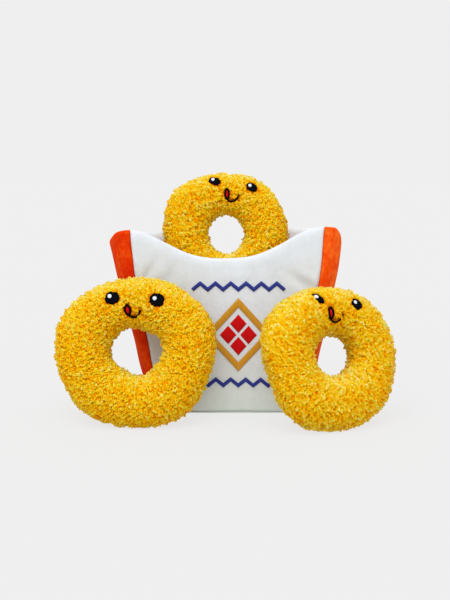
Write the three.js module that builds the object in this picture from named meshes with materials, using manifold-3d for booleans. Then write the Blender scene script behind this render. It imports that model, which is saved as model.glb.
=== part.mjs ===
// A plush side of onion rings: a soft white pouch with orange side bands, one curly fleece ring
// standing in its mouth and two larger rings leaning on its front. Each ring wears a stitched face.
// Millimetres, +Z up, X along the pouch's width; the front faces -Y.
// The origin is the middle of the pouch's flat underside.
import * as THREE from "three";
import { mergeVertices } from "three/addons/utils/BufferGeometryUtils.js";
import Module from "manifold-3d";

const wasm = await Module();
wasm.setup();

// Between pieces that touch.
const GAP = 0.3;

// The pouch: a flat base, two padded panels and two side bands that bulge outwards.
const BASE_HALF_WIDTH = 63;
const MOUTH_HALF_WIDTH = 93.8;
const BASE_HALF_DEPTH = 12.5;
const MOUTH_HALF_DEPTH = 24;
const DEPTH_POWER = 0.7; // the pouch deepens fastest just over its base
const MOUTH_HEIGHT = 147;
const MOUTH_LEAN = 3.2; // the mouth's shift to the left of the base
const BASE_HEIGHT = 4;
const PANEL_THICK = 5;
const PANEL_RIM_THICK = 3.2;
const RIM_SHARE = 0.93; // a panel thins out above this share of its height
const WAIST_TOP = 50; // a panel is drawn in up to here
const MOUTH_BOTTOM = 86; // and opens again from here
const MOUTH_TOP = 112;
const BAND_THICK = 4.2;
const BAND_THICK_SHARE = 0.62; // a band takes up no more than this share of its bulge
const BAND_BASE_BULGE = 11.5; // how far a side band stands out from the panel's seam
const BASE_CORNER_POWER = 4; // the base's outline runs straight along the panels and turns at the bands
const BASE_RIM_SHRINK = 0.985; // its underside's rim, rounded inwards
// corner is the mean height of a panel's two upper corners, and rise is how far the right one stands over it.
const FRONT_PANEL = {
  side: -1, corner: 149.45, rise: 1.25, dip: 23.45, dipHalfWidth: 75, dipPower: 1.35, waist: 3.1, mouth: 3.4,
};
const BACK_PANEL = {
  side: 1, corner: 145.8, rise: 1.8, dip: 24.5, dipHalfWidth: 52, dipPower: 1.5, waist: 1.9, mouth: 1.1,
};
// bow is how far a side stands out at half its height; dip is the sag of a band's top edge between its seams.
const LEFT_BAND = { hand: -1, bow: 1, mouthBulge: 21, bulgePower: 2.3, dip: 8, dipPower: 3.5 };
const RIGHT_BAND = { hand: 1, bow: 2.2, mouthBulge: 16.8, bulgePower: 1, dip: 11.5, dipPower: 6.5 };

// The rings. middle is a ring's centre; lean tips its top back, and yaw turns its face to the right.
// outline and holeOutline hold how far the rim and the hole's edge depart from a circle:
// [waves round the ring, cosine, sine].
// face places the middle between the eyes. eyes holds each eye's stretch both ways and its turn clockwise.
// mouth places the tongue from there, with its stretch both ways and the smile's radius.
const RINGS = {
  ring_left: {
    middle: [-71.7, -44.6, 56.4], lean: 10, yaw: 0,
    radius: 60.2, hole: 18.2, thick: 15.5,
    outline: [[2, 2.05, 0.28], [3, -0.3, 0.85], [4, -0.55, 0.1], [5, 0.14, 0.8]],
    holeOutline: [[1, 0.6, 1.1], [2, 0.94, -0.38], [3, -0.09, 0.61], [4, 0.46, 0.69]],
    face: { x: 0.3, z: 40.35, roll: 2.8, scale: 0.98 }, eyes: [[1, 1.05, 0], [1.05, 1.07, 0]],
    mouth: { x: -4.8, z: -8.95, wide: 0.9, tall: 0.95, smile: 5.3 }, seed: 1,
  },
  ring_right: {
    middle: [76.25, -49.7, 52.8], lean: 17.5, yaw: 25,
    radius: 56.15, hole: 15.9, thick: 15.5,
    outline: [[2, 0.05, -0.4], [3, 0.43, 0.95], [4, -1.1, -0.5], [5, 0.3, 0.53]],
    holeOutline: [[1, 1.7, 1.7], [2, 0.55, 0.65]],
    face: { x: 6.85, z: 41.6, roll: 11.3, scale: 0.95 }, eyes: [[0.97, 0.7, 44], [0.93, 0.95, 20]],
    mouth: { x: -6.9, z: -10.95, wide: 0.75, tall: 1.2, smile: 6.4 }, seed: 2,
  },
  ring_back: {
    middle: [-3.83, 6, 143], lean: 9, yaw: 0,
    radius: 50.5, hole: 14.65, thick: 12.6,
    outline: [[2, 0.4, -0.5], [3, 0.27, 0.3], [4, -1.06, -0.27], [5, 0.39, 0]],
    holeOutline: [[1, 1.3, 0.3], [2, -0.6, 0]],
    face: { x: 6.73, z: 39.1, roll: 9.6, scale: 0.86 }, eyes: [[1.03, 0.8, 12], [0.97, 0.86, 22]],
    mouth: { x: -3.95, z: -10.45, wide: 0.75, tall: 1.25, smile: 6.1 }, seed: 3,
  },
};
const RING_STEPS = 60;
const SECTION_STEPS = 20;
const SECTION_POWER = 2.2; // 2 is an ellipse; more is squarer
const PILE = 1.3; // the depth of the fleece's lumps
const SUNK = 1.8; // how far the fleece is pressed down round the stitched face
const FACE_HALF_WIDTH = 29; // the pressed patch, at scale 1
const FACE_HALF_HEIGHT = 20;
const FACE_DROP = 5; // the patch's middle lies this far under the eyes
const FACE_SOFTNESS = 0.35;

// The stitched face at scale 1, measured from the middle between the eyes.
const EYE_SPACING = 34.6;
const EYE_HALF_WIDTH = 5.6;
const EYE_HALF_HEIGHT = 5.2;
const EYE_THICK = 1;
const GLINT_RADIUS = 1.6;
const GLINT_OFFSET = [-1.8, 1.1];
const GLINT_THICK = 0.6;
const TONGUE_HALF_WIDTH = 1.25;
const TONGUE_HALF_HEIGHT = 2.9;
const TONGUE_TURN = 12; // degrees, counter-clockwise
const STROKE = 1.6; // the width of the mouth's stitched line
const SMILE_OFFSET = 4.2; // from the tongue's middle
const SMILE_FROM = 236; // degrees, counter-clockwise from the right
const SMILE_TO = 366;
const STITCH_THICK = 1.1;

// The stitched motif: a gold lozenge frame round four red lozenges, a blue zigzag over and under it.
const MOTIF_X = 7;
const MOTIF_Z = 65;
const FRAME_HALF_WIDTH = 27;
const FRAME_HALF_HEIGHT = 30;
const FRAME_BAND = 0.26; // the frame's width as a share of its half size
const LOZENGE_HALF_WIDTH = 6.6;
const LOZENGE_HALF_HEIGHT = 7.6;
const LOZENGE_STEP_X = 8.1;
const LOZENGE_STEP_Z = 9.1;
const ZIGZAG_HALF_WIDTH = 36;
const ZIGZAG_TEETH = 6;
const ZIGZAG_HEIGHT = 5;
const ZIGZAG_BAND = 3.4;
const ZIGZAG_OFFSET = 39;
const MOTIF_THICK = 1;

const COLOURS = {
  fleece: [0xe2a910, 0.95],
  white: [0xe6e8e6, 0.9],
  orange: [0xdf3c08, 0.9],
  black: [0x15181f, 0.5],
  glint: [0xf4f4f4, 0.5],
  red: [0xc01a12, 0.55],
  gold: [0xc58614, 0.55],
  blue: [0x12268e, 0.55],
};

const radians = THREE.MathUtils.degToRad;
const smooth = THREE.MathUtils.smoothstep;
const mix = THREE.MathUtils.lerp;

// The same number from 0 to 1 for the same three numbers.
function chance(a, b, c) {
  const x = Math.sin(a * 12.9898 + b * 78.233 + c * 37.719) * 43758.5453;
  return x - Math.floor(x);
}

// A closed geometry of these points, its faces turned outwards.
function closed(points, faces) {
  let volume = 0;
  for (const [a, b, c] of faces) {
    volume += points[a].dot(new THREE.Vector3().crossVectors(points[b], points[c]));
  }
  if (volume < 0) faces.forEach((face) => face.reverse());
  const geometry = new THREE.BufferGeometry();
  const numbers = points.flatMap((point) => point.toArray());
  geometry.setAttribute("position", new THREE.Float32BufferAttribute(numbers, 3));
  geometry.setIndex(faces.flat());
  return geometry;
}

// Two triangles for the four corners a, b, c, d in order.
function quad(a, b, c, d) {
  return [[a, b, c], [a, c, d]];
}

// A sheet with two sides. place(u, v, side) gives a point, u and v from 0 to 1, side 0 under and 1 outer.
// With loop, u = 1 meets u = 0 and the sheet is a closed band.
function slab(columns, rows, place, loop = false) {
  const wide = loop ? columns : columns + 1;
  const points = [];
  for (const side of [0, 1]) {
    for (let j = 0; j <= rows; j++) {
      for (let i = 0; i < wide; i++) points.push(place(i / columns, j / rows, side));
    }
  }
  const at = (i, j, side) => (side * (rows + 1) + j) * wide + (i % wide);
  const faces = [];
  for (let i = 0; i < columns; i++) {
    for (let j = 0; j < rows; j++) {
      faces.push(...quad(at(i, j, 1), at(i + 1, j, 1), at(i + 1, j + 1, 1), at(i, j + 1, 1)));
      faces.push(...quad(at(i, j, 0), at(i, j + 1, 0), at(i + 1, j + 1, 0), at(i + 1, j, 0)));
    }
    faces.push(...quad(at(i, 0, 0), at(i + 1, 0, 0), at(i + 1, 0, 1), at(i, 0, 1)));
    faces.push(...quad(at(i, rows, 0), at(i, rows, 1), at(i + 1, rows, 1), at(i + 1, rows, 0)));
  }
  for (let j = 0; j < rows && !loop; j++) {
    faces.push(...quad(at(0, j, 0), at(0, j, 1), at(0, j + 1, 1), at(0, j + 1, 0)));
    faces.push(...quad(at(columns, j, 0), at(columns, j + 1, 0), at(columns, j + 1, 1), at(columns, j, 1)));
  }
  return closed(points, faces);
}

// A round pad. place(x, z, side) gives a point for each place x, z in the unit disc.
function pad(hoops, spokes, place) {
  const points = [];
  for (const side of [0, 1]) {
    points.push(place(0, 0, side));
    for (let j = 1; j <= hoops; j++) {
      for (let i = 0; i < spokes; i++) {
        const turn = (i / spokes) * 2 * Math.PI;
        points.push(place((j / hoops) * Math.cos(turn), (j / hoops) * Math.sin(turn), side));
      }
    }
  }
  const layer = 1 + hoops * spokes;
  const at = (i, j, side) => side * layer + 1 + (j - 1) * spokes + (i % spokes);
  const faces = [];
  for (let i = 0; i < spokes; i++) {
    faces.push([0, at(i + 1, 1, 0), at(i, 1, 0)], [layer, at(i, 1, 1), at(i + 1, 1, 1)]);
    for (let j = 1; j < hoops; j++) {
      faces.push(...quad(at(i, j, 1), at(i, j + 1, 1), at(i + 1, j + 1, 1), at(i + 1, j, 1)));
      faces.push(...quad(at(i, j, 0), at(i + 1, j, 0), at(i + 1, j + 1, 0), at(i, j + 1, 0)));
    }
    faces.push(...quad(at(i, hoops, 0), at(i + 1, hoops, 0), at(i + 1, hoops, 1), at(i, hoops, 1)));
  }
  return closed(points, faces);
}

// A geometry as a solid that can be joined to others, and such a solid as a geometry.
function toSolid(geometry) {
  const merged = mergeVertices(geometry, 1e-4);
  return new wasm.Manifold(new wasm.Mesh({
    numProp: 3,
    vertProperties: merged.attributes.position.array,
    triVerts: new Uint32Array(merged.index.array),
  }));
}

function toGeometry(solid) {
  const mesh = solid.getMesh();
  const geometry = new THREE.BufferGeometry();
  geometry.setAttribute("position", new THREE.BufferAttribute(mesh.vertProperties, 3));
  geometry.setIndex(new THREE.BufferAttribute(mesh.triVerts, 1));
  return geometry;
}

function piece(name, geometry, colour) {
  const [hex, roughness] = COLOURS[colour];
  geometry.computeVertexNormals();
  const material = new THREE.MeshStandardMaterial({ color: hex, roughness, metalness: 0 });
  const mesh = new THREE.Mesh(geometry, material);
  mesh.name = name;
  return mesh;
}

// The panels' half width, the bulge of the band beside them, the half depth and the lean at a height.
// A side less than 0 is the left.
function pouchAt(z, side) {
  const band = side < 0 ? LEFT_BAND : RIGHT_BAND;
  const t = z / MOUTH_HEIGHT;
  const bow = band.bow * 4 * t * (1 - t);
  const bulge = mix(BAND_BASE_BULGE, band.mouthBulge, t ** band.bulgePower);
  return {
    seam: mix(BASE_HALF_WIDTH, MOUTH_HALF_WIDTH, t) + bow - bulge,
    bulge,
    depth: mix(BASE_HALF_DEPTH, MOUTH_HALF_DEPTH, t ** DEPTH_POWER),
    lean: -MOUTH_LEAN * t,
  };
}

// How far a panel is drawn in towards the pouch's middle, halfway between its seams.
function drawnIn(panel, z) {
  const released = (panel.waist - panel.mouth) * smooth(z, MOUTH_BOTTOM, MOUTH_TOP);
  return panel.waist * smooth(z, 0, WAIST_TOP) - released;
}

// The outer surface of a panel: across is -1 at its left seam and 1 at its right seam.
function panelDepth(panel, across, z) {
  const share = (1 - across * across) ** 2;
  return panel.side * (pouchAt(z, across).depth - drawnIn(panel, z) * share);
}

function panelTop(panel, across) {
  const seam = pouchAt(MOUTH_HEIGHT, across).seam;
  const reach = Math.min(1, (Math.abs(across) * seam) / panel.dipHalfWidth);
  const dip = (panel.dip * (1 + Math.cos(Math.PI * reach ** panel.dipPower))) / 2;
  return panel.corner + panel.rise * across - dip;
}

function pouchPanel(panel) {
  return slab(20, 12, (u, v, side) => {
    const across = 2 * u - 1;
    const z = mix(BASE_HEIGHT + GAP, panelTop(panel, across), v);
    const { seam, lean } = pouchAt(z, across);
    const thick = mix(PANEL_THICK, PANEL_RIM_THICK, smooth(v, RIM_SHARE, 1));
    const inwards = side === 1 ? 0 : thick;
    const y = panelDepth(panel, across, z) - panel.side * inwards;
    return new THREE.Vector3(across * seam + lean, y, z);
  });
}

// A side band: hand is -1 for the left and 1 for the right. It runs from the front seam to the back seam.
function sideBand({ hand, dip, dipPower }) {
  const front = FRONT_PANEL.corner + hand * FRONT_PANEL.rise;
  const rear = BACK_PANEL.corner + hand * BACK_PANEL.rise;
  return slab(9, 12, (u, v, side) => {
    const turn = Math.PI * u;
    const top = mix(front, rear, u) - dip * Math.max(0, Math.sin(turn)) ** dipPower;
    const z = mix(BASE_HEIGHT + GAP, top, v);
    const { seam, bulge, depth, lean } = pouchAt(z, hand);
    const inwards = side === 1 ? 0 : 1;
    const out = bulge - inwards * Math.min(BAND_THICK, bulge * BAND_THICK_SHARE);
    const x = seam + GAP + out * Math.sin(turn);
    return new THREE.Vector3(hand * x + lean, -(depth - inwards * PANEL_THICK) * Math.cos(turn), z);
  });
}

// The base: a flat underside, a rounded rim and a flat top, all to the pouch's own outline.
function pouchBase() {
  const { seam, bulge, depth } = pouchAt(0, 1);
  return pad(3, 44, (x, z, side) => {
    const reach = Math.hypot(x, z);
    const turn = Math.atan2(z, x);
    const c = Math.cos(turn);
    const s = Math.sin(turn);
    const edgeX = (seam + bulge) * Math.sign(c) * Math.abs(c) ** (2 / BASE_CORNER_POWER);
    const edgeY = depth * Math.sign(s) * Math.abs(s) ** (2 / BASE_CORNER_POWER);
    const shrink = side === 0 && reach > 0.99 ? BASE_RIM_SHRINK : 1;
    return new THREE.Vector3(edgeX * reach * shrink, edgeY * reach * shrink, side * BASE_HEIGHT);
  });
}

// A radius with these waves added to it, at an angle counter-clockwise from the right.
function wavy(radius, outline, angle) {
  let total = radius;
  for (const [waves, cosine, sine] of outline) {
    total += cosine * Math.cos(waves * angle) + sine * Math.sin(waves * angle);
  }
  return total;
}

// A ring's middle radius and half width at an angle round it.
function ringAt(ring, angle) {
  const outer = wavy(ring.radius, ring.outline, angle);
  const inner = wavy(ring.hole, ring.holeOutline, angle);
  return { middle: (outer + inner) / 2, half: (outer - inner) / 2 };
}

// The place on a ring's front at x, z in its own plane, raised by lift.
function onFront(ring, x, z, lift) {
  const { middle, half } = ringAt(ring, Math.atan2(z, x));
  const reach = Math.min(1, Math.abs(Math.hypot(x, z) - middle) / (half + lift));
  const depth = (ring.thick + lift) * (1 - reach ** SECTION_POWER) ** (1 / SECTION_POWER);
  return new THREE.Vector3(x, -depth, z);
}

// How much the fleece is pressed down for the face at x, z on a ring's front: 1 in the patch, 0 outside it.
function pressed({ face }, x, z) {
  const across = (x - face.x) / (FACE_HALF_WIDTH * face.scale);
  const up = (z - face.z + FACE_DROP * face.scale) / (FACE_HALF_HEIGHT * face.scale);
  return 1 - smooth(Math.hypot(across, up), 1, 1 + FACE_SOFTNESS);
}

// Where a ring stands.
function stance(ring) {
  const turn = new THREE.Euler(radians(-ring.lean), 0, radians(ring.yaw), "ZXY");
  return new THREE.Matrix4().compose(
    new THREE.Vector3(...ring.middle),
    new THREE.Quaternion().setFromEuler(turn),
    new THREE.Vector3(1, 1, 1),
  );
}

// The stuffed ring with its lumpy fleece, squashed flat where it stands on the ground.
function fleeceRing(ring) {
  const stands = stance(ring);
  const back = stands.clone().invert();
  const points = [];
  const faces = [];
  const at = (i, j) => (i % RING_STEPS) * SECTION_STEPS + (j % SECTION_STEPS);
  for (let i = 0; i < RING_STEPS; i++) {
    const angle = (i / RING_STEPS) * 2 * Math.PI;
    const { middle, half } = ringAt(ring, angle);
    for (let j = 0; j < SECTION_STEPS; j++) {
      const turn = ((j + 0.5 * (i % 2)) / SECTION_STEPS) * 2 * Math.PI;
      const c = Math.cos(turn);
      const s = Math.sin(turn);
      const unitOut = Math.sign(c) * Math.abs(c) ** (2 / SECTION_POWER);
      const unitBack = Math.sign(s) * Math.abs(s) ** (2 / SECTION_POWER);
      const flat = middle + half * unitOut;
      const press = unitBack < 0 ? pressed(ring, flat * Math.cos(angle), flat * Math.sin(angle)) : 0;
      const lift = -mix(PILE * chance(i, j, ring.seed), SUNK, press);
      const out = middle + (half + lift) * unitOut;
      const deep = (ring.thick + lift) * unitBack;
      const point = new THREE.Vector3(out * Math.cos(angle), deep, out * Math.sin(angle));
      point.applyMatrix4(stands);
      point.z = Math.max(0, point.z);
      points.push(point.applyMatrix4(back));
      faces.push(...quad(at(i, j), at(i + 1, j), at(i + 1, j + 1), at(i, j + 1)));
    }
  }
  return closed(points, faces);
}

// A place on a ring's face: x, z from the middle between the eyes at scale 1.
function onFace(ring, x, z, lift) {
  const { face } = ring;
  const roll = radians(face.roll);
  const along = x * Math.cos(roll) + z * Math.sin(roll);
  const up = z * Math.cos(roll) - x * Math.sin(roll);
  return onFront(ring, face.x + along * face.scale, face.z + up * face.scale, lift);
}

// The lift of a stitched piece's under side and of its outer side.
function stitchLift(side, thick, above = 0) {
  return -SUNK + GAP + above + side * thick;
}

function eye(ring, hand) {
  const [wide, tall, clockwise] = ring.eyes[hand < 0 ? 0 : 1];
  const turn = radians(clockwise);
  return pad(2, 14, (x, z, side) => {
    const across = x * wide * EYE_HALF_WIDTH;
    const up = z * tall * EYE_HALF_HEIGHT;
    const along = across * Math.cos(turn) + up * Math.sin(turn);
    const rise = up * Math.cos(turn) - across * Math.sin(turn);
    return onFace(ring, (hand * EYE_SPACING) / 2 + along, rise, stitchLift(side, EYE_THICK));
  });
}

function glint(ring, hand) {
  const [dx, dz] = GLINT_OFFSET;
  return pad(1, 10, (x, z, side) => {
    const lift = stitchLift(side, GLINT_THICK, EYE_THICK + GAP);
    return onFace(ring, (hand * EYE_SPACING) / 2 + dx + x * GLINT_RADIUS, dz + z * GLINT_RADIUS, lift);
  });
}

// A place x, z from the tongue's middle.
function onMouth(ring, x, z, side) {
  return onFace(ring, ring.mouth.x + x, ring.mouth.z + z, stitchLift(side, STITCH_THICK));
}

// A place on the tongue, x, z in its unit disc, this far outside it.
function onTongue(ring, x, z, out, side) {
  const turn = radians(TONGUE_TURN);
  const across = x * (ring.mouth.wide * TONGUE_HALF_WIDTH + out);
  const up = z * (ring.mouth.tall * TONGUE_HALF_HEIGHT + out);
  const along = across * Math.cos(turn) - up * Math.sin(turn);
  return onMouth(ring, along, across * Math.sin(turn) + up * Math.cos(turn), side);
}

function tongue(ring) {
  return pad(1, 12, (x, z, side) => onTongue(ring, x, z, 0, side));
}

// The mouth's line: a loop round the tongue, joined to the smile.
function mouth(ring) {
  const loop = slab(16, 1, (u, v, side) => {
    const turn = 2 * Math.PI * u;
    return onTongue(ring, Math.cos(turn), Math.sin(turn), GAP + v * STROKE, side);
  }, true);
  const smile = slab(10, 1, (u, v, side) => {
    const turn = radians(mix(SMILE_FROM, SMILE_TO, u));
    const out = ring.mouth.smile + (v - 0.5) * STROKE;
    return onMouth(ring, SMILE_OFFSET + out * Math.cos(turn), out * Math.sin(turn), side);
  });
  return toGeometry(toSolid(loop).add(toSolid(smile)));
}

// A place on the pouch's front at x, z from the motif's middle; side 0 is against the panel and 1 is outer.
function onPouch(x, z, side) {
  const height = MOTIF_Z + z;
  const { seam, lean } = pouchAt(height, MOTIF_X + x);
  const across = (MOTIF_X + x - lean) / seam;
  const y = panelDepth(FRONT_PANEL, across, height) - GAP - side * MOTIF_THICK;
  return new THREE.Vector3(MOTIF_X + x, y, height);
}

function lozengeFrame() {
  const corners = [[1, 0], [0, 1], [-1, 0], [0, -1], [1, 0]];
  return slab(24, 1, (u, v, side) => {
    const leg = Math.min(3, Math.floor(u * 4));
    const share = u * 4 - leg;
    const size = 1 - FRAME_BAND * (1 - v);
    const x = mix(corners[leg][0], corners[leg + 1][0], share) * FRAME_HALF_WIDTH * size;
    const z = mix(corners[leg][1], corners[leg + 1][1], share) * FRAME_HALF_HEIGHT * size;
    return onPouch(x, z, side);
  }, true);
}

function lozenge(column, row) {
  return slab(3, 3, (u, v, side) => {
    const x = column * LOZENGE_STEP_X + (u - v) * LOZENGE_HALF_WIDTH;
    const z = row * LOZENGE_STEP_Z + (u + v - 1) * LOZENGE_HALF_HEIGHT;
    return onPouch(x, z, side);
  });
}

function zigzag(up) {
  return slab(ZIGZAG_TEETH * 2, 1, (u, v, side) => {
    const step = Math.round(u * ZIGZAG_TEETH * 2);
    const z = up * ZIGZAG_OFFSET + ((step % 2) - 0.5) * ZIGZAG_HEIGHT + (v - 0.5) * ZIGZAG_BAND;
    return onPouch((2 * u - 1) * ZIGZAG_HALF_WIDTH, z, side);
  });
}

function pouch() {
  const group = new THREE.Group();
  group.add(
    piece("pouch_base", pouchBase(), "white"),
    piece("pouch_front", pouchPanel(FRONT_PANEL), "white"),
    piece("pouch_back", pouchPanel(BACK_PANEL), "white"),
    piece("band_left", sideBand(LEFT_BAND), "orange"),
    piece("band_right", sideBand(RIGHT_BAND), "orange"),
    piece("motif_frame", lozengeFrame(), "gold"),
    piece("motif_zigzag_top", zigzag(1), "blue"),
    piece("motif_zigzag_bottom", zigzag(-1), "blue"),
  );
  const places = { east: [1, 0], north: [0, 1], west: [-1, 0], south: [0, -1] };
  for (const [place, [column, row]] of Object.entries(places)) {
    group.add(piece(`motif_lozenge_${place}`, lozenge(column, row), "red"));
  }
  return group;
}

function faceOf(name, ring) {
  const group = new THREE.Group();
  for (const [place, hand] of [["left", -1], ["right", 1]]) {
    group.add(piece(`${name}_eye_${place}`, eye(ring, hand), "black"));
    group.add(piece(`${name}_glint_${place}`, glint(ring, hand), "glint"));
  }
  group.add(piece(`${name}_tongue`, tongue(ring), "red"));
  group.add(piece(`${name}_mouth`, mouth(ring), "black"));
  return group;
}

const onionRings = new THREE.Group();
onionRings.add(pouch());
for (const [name, ring] of Object.entries(RINGS)) {
  const standing = new THREE.Group();
  standing.applyMatrix4(stance(ring));
  standing.add(piece(name, fleeceRing(ring), "fleece"), faceOf(name, ring));
  onionRings.add(standing);
}

export default onionRings;
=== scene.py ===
"""A plush side of onion rings: curly fleece rings with stitched faces, in and against a soft white pouch.

Lengths are millimetres until a piece is made, and metres from there on, in the part's own frame.
"""

import math

import bpy
import numpy as np
from mathutils import Matrix, Vector


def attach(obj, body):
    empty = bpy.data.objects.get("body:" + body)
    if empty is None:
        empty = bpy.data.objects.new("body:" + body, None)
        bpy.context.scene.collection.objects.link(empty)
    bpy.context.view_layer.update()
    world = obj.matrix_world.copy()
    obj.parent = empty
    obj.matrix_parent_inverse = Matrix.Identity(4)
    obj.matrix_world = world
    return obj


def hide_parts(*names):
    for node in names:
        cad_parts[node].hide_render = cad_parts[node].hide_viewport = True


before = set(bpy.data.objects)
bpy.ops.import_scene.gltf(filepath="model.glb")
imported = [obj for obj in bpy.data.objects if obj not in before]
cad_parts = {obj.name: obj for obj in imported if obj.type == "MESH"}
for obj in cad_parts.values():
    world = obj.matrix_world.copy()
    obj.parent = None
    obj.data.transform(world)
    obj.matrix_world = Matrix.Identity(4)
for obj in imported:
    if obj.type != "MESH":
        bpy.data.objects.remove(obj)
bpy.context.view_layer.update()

MM = 0.001

# The camera: its place follows from the photograph's viewing angle.
CAMERA_DISTANCE = 700
CAMERA_ELEVATION = 10.5
CAMERA_TARGET = (0, -46, 60)
CAMERA_LENS = 55.02
CAMERA_SHIFT = (-0.0075, 0.08)

# The studio, whose floor glows as brightly as the backdrop.
BACKDROP = 0.863
FLOOR_GLOW = 0.731
FLOOR_REACH = 60.0  # metres
KEY_ENERGY = 1.95
KEY_SPREAD = 50  # degrees
KEY_FROM = (-0.15, -0.75, 1.0)

# The pouch, as in the part.
BASE_HALF_WIDTH = 63
MOUTH_HALF_WIDTH = 93.8
BASE_HALF_DEPTH = 12.5
MOUTH_HALF_DEPTH = 24
DEPTH_POWER = 0.7  # the pouch deepens fastest just over its base
MOUTH_HEIGHT = 147
MOUTH_LEAN = 3.2  # the mouth's shift to the left of the base
BASE_HEIGHT = 4
BASE_CORNER_POWER = 4
PANEL_THICK = 5
WAIST_TOP = 50  # a panel is drawn in up to here
MOUTH_BOTTOM = 86  # and opens again from here
MOUTH_TOP = 112
BAND_THICK = 4.2
BAND_THICK_SHARE = 0.62  # a band takes up no more than this share of its bulge
BAND_BASE_BULGE = 11.5
BANDS = {
    -1: {"bow": 1, "mouth_bulge": 21, "bulge_power": 2.3, "dip": 8, "dip_power": 3.5},
    1: {"bow": 2.2, "mouth_bulge": 16.8, "bulge_power": 1, "dip": 11.5, "dip_power": 6.5},
}
SEAM_GAP = 0.3
# The panels, whose top edge rises from left to right and dips in the middle.
FRONT = {
    "side": -1, "corner": 149.45, "rise": 1.25, "dip": 23.45, "dip_half": 75, "power": 1.35,
    "waist": 3.1, "mouth": 3.4,
}
BACK = {
    "side": 1, "corner": 145.8, "rise": 1.8, "dip": 24.5, "dip_half": 52, "power": 1.5,
    "waist": 1.9, "mouth": 1.1,
}

# The pouch's soft cloth. ROLL is over how far the padding rounds off at the seams, the mouth and the foot.
FOOT = 1.6  # where the cloth's lower edge meets the thin rim of the bottom
GROUND_SHADE_TOP = 65  # below this the white cloth is painted darker and yellower towards the ground: painted shade, with painted yellow bounce light from the rings
PANEL_ROLL = {"edge": 4, "lip": 9, "foot": 1.2}
BAND_ROLL = {"edge": 4, "lip": 2.4, "foot": 3}
BAND_AROUND = 60  # about the length round a side band, from seam to seam
FRONT_SEED = 11
BACK_SEED = 21
BAND_SEED = 31
SEAM_SEEDS = {-1: 47, 1: 52}
SEAM_WAVER = 0.8  # how uneven the side seams are, and the same for the panels, their top edge and the bands
PANEL_WAVER = 0.3
EDGE_WAVER = 0.25
BAND_WAVER = 0.35
BASE_INSET = 12.4  # nearly the base's half depth, so that the bottom's profile ends at its middle
BASE_PROFILE = [  # distance in from the edge, height
    (BASE_INSET, 0), (6, 0), (1.2, 0), (0.4, 0.12), (0.05, 0.45), (0, 0.8), (0.1, 1.1), (0.5, 1.3),
    (2.5, 1.35), (5.4, 1.35), (5.7, 1.6), (5.8, 2.8), (6.0, 3.5), (6.8, 3.9), (8, BASE_HEIGHT),
    (BASE_INSET, BASE_HEIGHT),
]

# The rings, as in the part. middle is a ring's centre; lean tips its top back, and yaw turns its face to the
# right. outline and hole_outline hold how far the rim and the hole's edge depart from a circle: waves round
# the ring, cosine, sine. face places the middle between the eyes, and eyes holds each eye's stretch both ways
# and its turn clockwise. mouth places the tongue from there, with its stretch both ways and the smile's
# radius. coarse, which the part doesn't have, is how coarse the ring's curls are.
RINGS = {
    "ring_left": {
        "middle": (-71.7, -44.6, 56.4), "lean": 10, "yaw": 0, "radius": 60.2, "hole": 18.2, "thick": 15.5,
        "outline": [(2, 2.05, 0.28), (3, -0.3, 0.85), (4, -0.55, 0.1), (5, 0.14, 0.8)],
        "hole_outline": [(1, 0.6, 1.1), (2, 0.94, -0.38), (3, -0.09, 0.61), (4, 0.46, 0.69)],
        "face": {"x": 0.3, "z": 40.35, "roll": 2.8, "scale": 0.98},
        "eyes": [(1, 1.05, 0), (1.05, 1.07, 0)],
        "mouth": {"x": -4.8, "z": -8.95, "wide": 0.9, "tall": 0.95, "smile": 5.3},
        "seed": 1, "coarse": 1.1,
    },
    "ring_right": {
        "middle": (76.25, -49.7, 52.8), "lean": 17.5, "yaw": 25, "radius": 56.15, "hole": 15.9, "thick": 15.5,
        "outline": [(2, 0.05, -0.4), (3, 0.43, 0.95), (4, -1.1, -0.5), (5, 0.3, 0.53)],
        "hole_outline": [(1, 1.7, 1.7), (2, 0.55, 0.65)],
        "face": {"x": 6.85, "z": 41.6, "roll": 11.3, "scale": 0.95},
        "eyes": [(0.97, 0.7, 44), (0.93, 0.95, 20)],
        "mouth": {"x": -6.9, "z": -10.95, "wide": 0.75, "tall": 1.2, "smile": 6.4},
        "seed": 2, "coarse": 1.22,
    },
    "ring_back": {
        "middle": (-3.83, 6, 143), "lean": 9, "yaw": 0, "radius": 50.5, "hole": 14.65, "thick": 12.6,
        "outline": [(2, 0.4, -0.5), (3, 0.27, 0.3), (4, -1.06, -0.27), (5, 0.39, 0)],
        "hole_outline": [(1, 1.3, 0.3), (2, -0.6, 0)],
        "face": {"x": 6.73, "z": 39.1, "roll": 9.6, "scale": 0.86},
        "eyes": [(1.03, 0.8, 12), (0.97, 0.86, 22)],
        "mouth": {"x": -3.95, "z": -10.45, "wide": 0.75, "tall": 1.25, "smile": 6.1},
        "seed": 3, "coarse": 1.18,
    },
}
SECTION_POWER = 2.2  # 2 is an ellipse; more is squarer

# The fleece: a cloth covered with fat locks, and these with short curls of yarn across each other. Both are
# arcs. pitch and row are their spacing, rise their unevenness in height, and clear is how near they come to
# a stitch.
CELL_ROUND = 0.54  # the mesh's step round the rim
CELL_SECTION = 0.53
LUMP = 0.7  # the stuffing's unevenness
TUFT = 1.0  # how unevenly the locks bunch together
TUFT_SIZE = 1.05
CLOTH = -1.5  # the cloth's lift between the locks
LOCKS = {
    "pitch": 1.9, "row": 1.8, "radius": (0.1, 0.8), "sweep": (0.5, 3.6), "yarn": (0.6, 1.0),
    "rise": (-0.6, 0.7), "tilt": 0.4, "squash": 0.9, "clear": (0.5, 1.5),
}
CURLS = {
    "pitch": 2.1, "row": 2.0, "radius": (0.9, 1.7), "sweep": (2.3, 5.0), "yarn": (0.52, 0.7),
    "rise": (-0.3, 0.2), "tilt": 0.3, "squash": 1.0, "clear": (0.9, 2.0),
}
LOCK_TOP = 1.3
CURL_TOP = 0.6
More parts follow.
